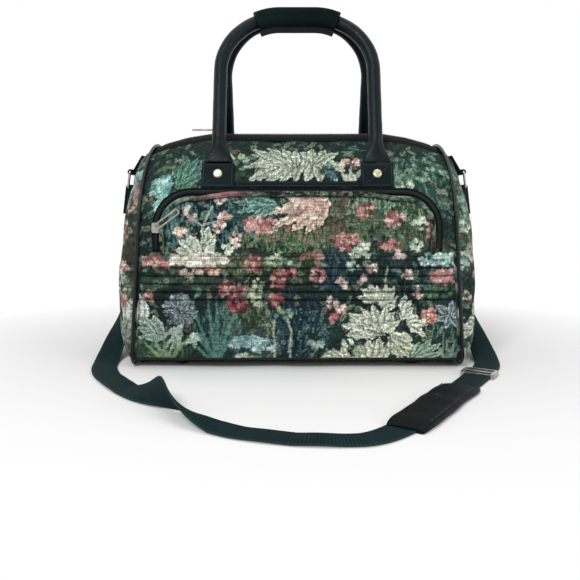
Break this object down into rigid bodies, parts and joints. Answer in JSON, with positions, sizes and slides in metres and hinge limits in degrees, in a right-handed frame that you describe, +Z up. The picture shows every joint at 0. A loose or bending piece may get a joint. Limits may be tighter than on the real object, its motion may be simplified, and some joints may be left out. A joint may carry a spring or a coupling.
{
  "type": "carpet bag",
  "caption": "Soft tapestry holdall with twin rolled handles in a grip wrap, a zipped front pocket, piped ends and an adjustable shoulder strap laid on the floor.",
  "frame": {"origin": "centre of the bag's plan at the level of its feet, without the strap", "axes": "+X to the bag's right end seen from the front, front faces -Y, +Z up"},
  "size_m": [0.5093, 0.4596, 0.4401],
  "materials": {
    "tapestry": "woven verdure tapestry, matt",
    "piping_vinyl": "smooth dark vinyl cord",
    "dark_band": "dark trim band",
    "leather": "smooth near-black blue-green leather",
    "grip_leather": "dark green leather wrap",
    "zip_tape": "black woven zip tape",
    "zip_teeth": "dark coil",
    "pewter": "worn bright metal",
    "rivet_brass": "pale brass",
    "webbing": "dark teal ribbed webbing",
    "pad_vinyl": "dark vinyl sleeve",
    "foot_plastic": "black domed foot",
    "board": "plain stiffening board"
  },
  "bodies": {
    "bag": {"back_panel": "tapestry", "base_board": "board", "base_panel": "tapestry", "end_panel_left": "tapestry", "end_panel_right": "tapestry", "end_piping_left": "piping_vinyl", "end_piping_right": "piping_vinyl", "feet": "foot_plastic", "front_panel": "tapestry", "grip_wrap": "grip_leather", "handle_back": "leather", "handle_front": "leather", "handle_tab_back_left": "leather", "handle_tab_back_right": "leather", "handle_tab_front_left": "leather", "handle_tab_front_right": "leather", "lower_panel": "tapestry", "main_zip_tape": "zip_tape", "main_zip_teeth": "zip_teeth", "pocket_gusset": "zip_tape", "pocket_panel": "tapestry", "pocket_piping": "tapestry", "pocket_zip_tape": "zip_tape", "pocket_zip_teeth": "zip_teeth", "ring_tab_left": "webbing", "ring_tab_right": "webbing", "rivets": "rivet_brass", "shoulder_pad": "pad_vinyl", "strap_adjuster": "pewter", "strap_drop_left": "webbing", "strap_drop_right": "webbing", "strap_floor_end": "webbing", "strap_floor_run": "webbing", "top_band_back": "dark_band", "top_band_front": "dark_band", "trim_strip_back": "leather", "trim_strip_front": "leather"},
    "main_slider_body": {"main_slider": "pewter"},
    "main_pull_body": {"main_pull": "pewter"},
    "pocket_slider_body": {"pocket_slider": "pewter"},
    "pocket_pull_body": {"pocket_pull": "pewter"},
    "ring_left": {"strap_ring_left": "pewter", "strap_loop_left": "webbing"},
    "ring_right": {"strap_ring_right": "pewter", "strap_loop_right": "webbing"}
  },
  "joints": [
    {"name": "main_zip_slide", "type": "slide", "parent": "bag", "child": "main_slider_body", "axis": [1, 0, 0], "range_m": [0, 0.196]},
    {"name": "main_pull_hinge", "type": "hinge", "parent": "main_slider_body", "child": "main_pull_body", "pos_m": [-0.098, 0.006, 0.29218], "axis": [0, 1, 0], "range_deg": [0, 150]},
    {"name": "pocket_zip_arc", "type": "hinge", "parent": "bag", "child": "pocket_slider_body", "pos_m": [-0.124, -0.09638, 0.169], "axis": [0, 1, 0], "range_deg": [0, 84]},
    {"name": "pocket_pull_hinge", "type": "hinge", "parent": "pocket_slider_body", "child": "pocket_pull_body", "pos_m": [-0.16697, -0.09638, 0.1705], "axis": [0.5736, 0, -0.8192], "range_deg": [0, 110]},
    {"name": "ring_left_hinge", "type": "hinge", "parent": "bag", "child": "ring_left", "pos_m": [-0.214, 0.006, 0.238], "axis": [0, 1, 0], "range_deg": [0, 70]},
    {"name": "ring_right_hinge", "type": "hinge", "parent": "bag", "child": "ring_right", "pos_m": [0.214, 0.006, 0.238], "axis": [0, -1, 0], "range_deg": [0, 70]}
  ]
}
